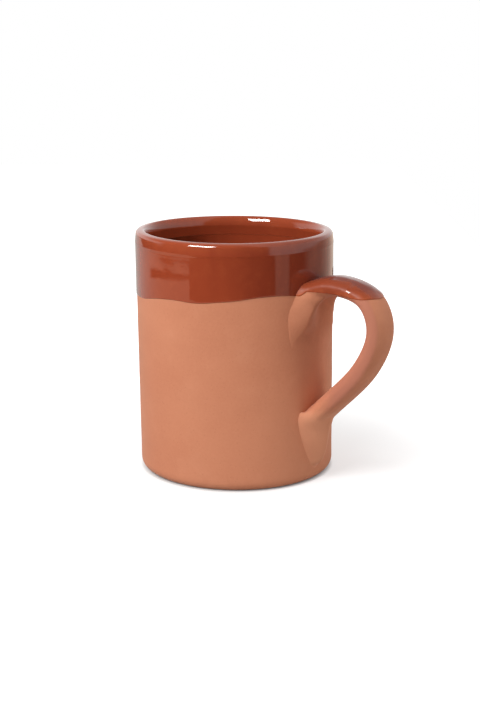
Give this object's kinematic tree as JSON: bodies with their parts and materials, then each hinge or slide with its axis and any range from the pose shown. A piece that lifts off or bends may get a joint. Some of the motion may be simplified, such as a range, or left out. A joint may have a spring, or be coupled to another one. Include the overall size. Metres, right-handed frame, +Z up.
{
  "type": "mug",
  "caption": "Straight-sided thrown clay mug with a pulled strap handle, bare terracotta below and a dipped glossy brown rim.",
  "frame": {"origin": "centre of the foot ring, in the plane that the mug stands on", "axes": "+Z up along the cup's axis, +X towards the handle, the strap's middle line in the XZ plane"},
  "size_m": [0.1148, 0.082, 0.1005],
  "materials": {
    "bare_clay": "matte fired terracotta",
    "slip_clay": "matte fired slip",
    "brown_glaze": "glossy red-brown glaze",
    "liner_glaze": "glossy dark red-brown glaze"
  },
  "bodies": {
    "root": {"cup_body": "bare_clay", "handle_strap": "bare_clay", "upper_slip": "slip_clay", "lower_slip": "slip_clay", "upper_joint_clay": "bare_clay", "lower_joint_clay": "bare_clay", "liner_glaze": "liner_glaze", "rim_glaze": "brown_glaze", "handle_glaze": "brown_glaze"}
  },
  "joints": []
}
